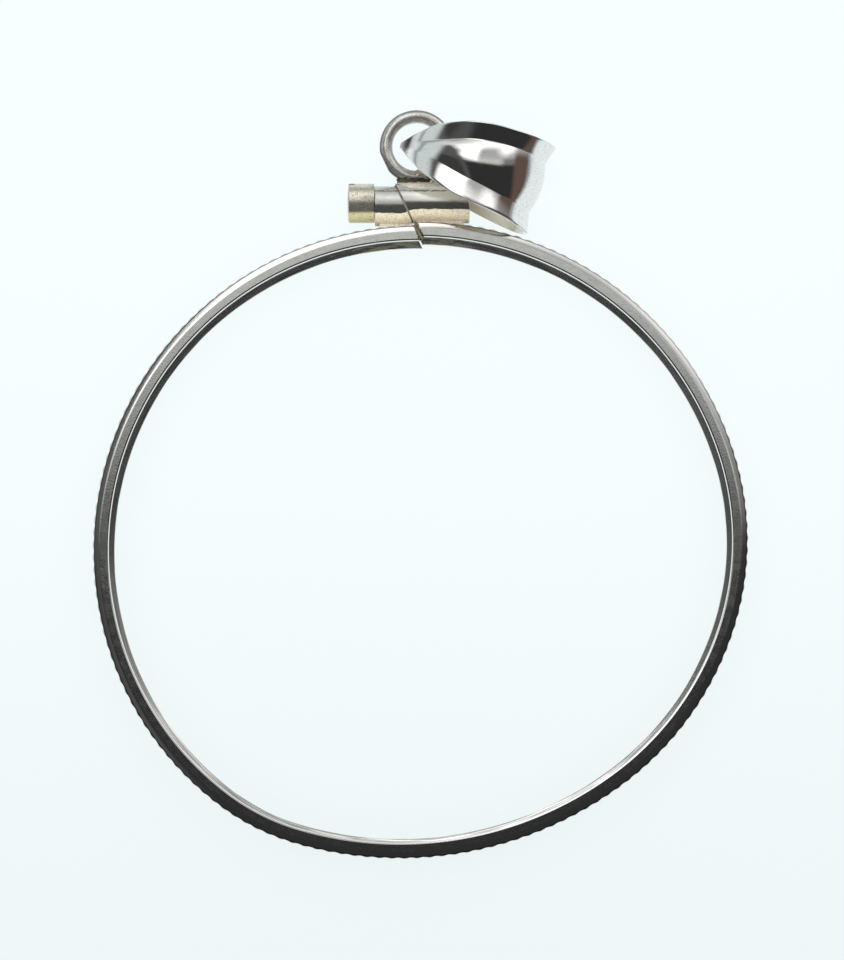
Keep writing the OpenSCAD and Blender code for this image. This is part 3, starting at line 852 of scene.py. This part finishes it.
# Less metallic on the lower side, to go with its painted light.
finish_with(tree, shader, Base_Color=colour, Roughness=roughness,
            Metallic=fade(tree, at[1], 20.15, 19.92, 0.9, 0.2))
bump(tree, shader, maths(tree, "SUBTRACT", times(tree, cloud["Grit"], 0.25), pits), 0.007)
screw.data.materials.append(turned)
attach(screw, "screw")
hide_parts("screw")


# Bail: one tapered strip of polished silver sheet, fluted along its length, folded over at its
# wide middle and joined where its two narrow ends meet, through the loop.
bail_rows = np.array([  # [distance from tip, height, half of width, share of it at the creases]
    [0, 0, .2, .3], [.3, .55, .44, .3], [.8, 1.3, .84, .3], [1.65, 2.2, 1.44, .33],
    [2.7, 2.95, 1.88, .41], [4.1, 3.45, 2.3, .5], [5.4, 3.58, 2.48, .55],
    [6.7, 3.35, 2.57, .59], [7.8, 2.7, 2.67, .6], [8.6, 1.75, 2.74, .59],
    [9.0, .85, 2.79, .57], [9.08, .1, 2.8, .55], [8.85, -.75, 2.78, .56],
    [8.15, -1.4, 2.7, .58], [7.1, -1.6, 2.56, .58], [5.5, -1.6, 2.32, .54],
    [4.0, -1.55, 1.98, .48], [2.7, -1.3, 1.52, .4], [1.6, -.9, 1.04, .33],
    [.75, -.48, .6, .3]])
sheet, tip_sheet = 0.3, 0.42  # its thickness, and that of the joined tip
flute, flute_from, flute_full, back_share = 0.28, 0.7, 3.5, 0.5  # back_share is lost underneath
panel_aside, edge_lift = 0.1, 0.03
edge_round = 0.07
row_steps = 8


def along_rows(rows, steps):
    """Smooth curve through the rows, with steps points from each to the next: the Catmull-Rom
    spline, whose direction at a row is that from the row before to the row after. The curve
    turns sharply at the first row, which is the tip."""
    closed = np.vstack([2 * rows[0] - rows[1], rows, rows[0], 2 * rows[0] - rows[-1]])
    before, here, after, later = (closed[k:len(rows) + k, None] for k in range(4))
    t = (np.arange(steps) / steps)[None, :, None]
    curve = ((3 * here - 3 * after + later - before) * t ** 3
             + (2 * before - 5 * here + 4 * after - later) * t ** 2
             + (after - before) * t + 2 * here) / 2
    return curve.reshape(-1, rows.shape[1])


def outward(stages):
    """Direction out of the strip in [along, height], at right angles to the line between the
    stages before and after."""
    t = np.roll(stages[:, :2], -1, axis=0) - np.roll(stages[:, :2], 1, axis=0)
    return np.stack([-t[:, 1], t[:, 0]], -1) / np.linalg.norm(t, axis=1, keepdims=True)


def rise_and_across(stages, share, half):
    """Rise above the middle line and place across it, for shares from -1 to 1 of a half width: the
    middle panel falls as a square from its middle to the creases, and the flanges climb from
    there to the edges, by a depth that eases in from the tip and is less underneath."""
    panel = np.minimum(1, 2 * np.abs(share))
    flange = np.clip(2 * np.abs(share) - 1, 0, None)
    growth = np.clip((stages[:, 0] - flute_from) / (flute_full - flute_from), 0, 1)[:, None]
    growth = growth ** 2 * (3 - 2 * growth)
    under = np.clip(-stages[:, 1] / half_h, 0, 1)[:, None]
    fluting = flute * growth * (1 - back_share * under)
    crease = stages[:, 3][:, None]
    across = panel_aside * growth * (1 - flange) \
        + np.sign(share) * half * (crease * panel + (1 - crease) * flange)
    return (fluting + edge_lift * growth) * flange ** 1.2 - fluting * panel ** 2, across


def strip(stages, normal, thickness):
    """Rings of the strip's section at the stages: the outer skin from edge to edge, a half-round
    edge, the inner skin back, and the other edge. The last number is 1 on the inner skin and on
    the two points of each edge next to it."""
    by_crease = np.array([0.47, 0.485, 0.515, 0.53])
    share = np.sort(np.concatenate([np.linspace(-1, 1, 41), by_crease, -by_crease]))[None, :]
    half = stages[:, 2][:, None]
    ease = np.minimum(edge_round, 0.35 * half)
    rise, across = rise_and_across(stages, share, half - ease)
    depth = thickness[:, None]
    bend = np.radians([30.0, 60.0, 90.0])[None, :]
    drop, out = ease * (1 - np.cos(bend)), ease * np.sin(bend)
    edge_drop = np.concatenate([drop, (depth - drop)[:, ::-1]], 1)
    edge_out = np.concatenate([out, out[:, ::-1]], 1)
    skin, edge = share.size, 2 * bend.size
    high_rise, high_across = rise_and_across(stages, np.ones((1, edge)), half - ease)
    low_rise, low_across = rise_and_across(stages, -np.ones((1, edge)), half - ease)
    lift = np.concatenate([rise, high_rise - edge_drop, rise[:, ::-1] - depth,
                           (low_rise - edge_drop)[:, ::-1]], 1)
    side = np.concatenate([across, high_across + edge_out, across[:, ::-1],
                           (low_across - edge_out)[:, ::-1]], 1)
    inner = np.zeros_like(side)
    inner[:, skin + edge - 2:2 * skin + edge + 2] = 1
    return np.stack([stages[:, :1] + normal[:, :1] * lift, side,
                     stages[:, 1:2] + normal[:, 1:2] * lift, inner], -1)


coarse = strip(bail_rows, outward(bail_rows),
               np.where(np.arange(len(bail_rows)) == 0, tip_sheet, sheet))
stages = along_rows(bail_rows, row_steps)
fine = strip(stages, outward(stages), np.full(len(stages), sheet))
# Next to the tip the two ends are one solid, so there the inner skin runs straight between rows.
t = (np.arange(row_steps) / row_steps)[:, None, None]
inner = coarse[0, :, 3] > 0
for first, second, place_at in ((0, 1, 0), (-1, 0, -row_steps)):
    straight = coarse[first] * (1 - t) + coarse[second] * t
    block = fine[place_at:place_at + row_steps or None]
    block[:, inner] = straight[:, inner]
turn_bail, tip_past, bail_aside = radians(-18.5), 0.98, 0.2
along_bail, across_bail = fine[..., 0] - tip_past, fine[..., 1] - bail_aside
bail_points = np.stack([
    loop_centre[0] + along_bail * cos(turn_bail) - across_bail * sin(turn_bail),
    loop_centre[1] + along_bail * sin(turn_bail) + across_bail * cos(turn_bail),
    fine[..., 2]], -1)
tip_dark = np.exp(-(np.clip(fine[..., 0] - 0.4, 0, None) / 0.4) ** 2) \
    * np.clip((fine[..., 1] + 0.3) / 0.2, 0, 1)
bent = np.clip((fine[..., 0] - 7.0) / 1.2, 0, 1)
bail = add_grid("bail_strip", bail_points, "joined",
                {"inner": fine[..., 3], "tip": tip_dark, "fold": bent}, sharp=60)

polished, tree, shader = new_material("polished silver", Metallic=1.0)
mm = place_mm(tree)
cloud = use(tree, clouds, Place=mm, Patch=0.7, Grain=0.05)
lines = use(tree, scratches, Place=mm, Spacing=0.04, Share=0.5)["Height"]
colour = over(tree, times(tree, cloud["Cloud"], 0.25), (0.84, 0.835, 0.83), (0.77, 0.765, 0.75))
# Specks of dirt lie thickest by the fold, and the heat of joining has darkened the tip.
specks = use(tree, stain, Place=mm, Strength=fade(tree, mark_of(tree, "fold"), 0, 1, 0.16, 0.25),
             Blot=0.08, Edge=0.04)["Mask"]
colour = over(tree, times(tree, specks, 0.6), colour, (0.30, 0.28, 0.26))
colour = over(tree, times(tree, mark_of(tree, "tip"), 0.8), colour, (0.22, 0.215, 0.21))
# Paste from polishing has dried on the inner skin, thinner towards the fold.
inner_face = mark_of(tree, "inner")
at = put(tree, "SeparateXYZ", {0: mm}).outputs
paste = over(tree, fade(tree, at[0], 3.2, 5.4), (0.62, 0.55, 0.43), (0.96, 0.95, 0.84))
colour = over(tree, inner_face, colour, paste)
dull = times(tree, inner_face, fade(tree, at[0], 5.2, 6.6, 1.0, 0.3))
roughness = maths(tree, "ADD", fade(tree, cloud["Cloud"], 0, 1, 0.04, 0.075),
                  times(tree, inner_face, 0.25))
finish_with(tree, shader, Base_Color=colour, Roughness=roughness,
            Metallic=maths(tree, "SUBTRACT", 1.0, dull))
bump(tree, shader, maths(tree, "ADD", times(tree, lines, 0.3), cloud["Grit"]), 0.0006)
bail.data.materials.append(polished)
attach(bail, "bail")
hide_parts("bail")
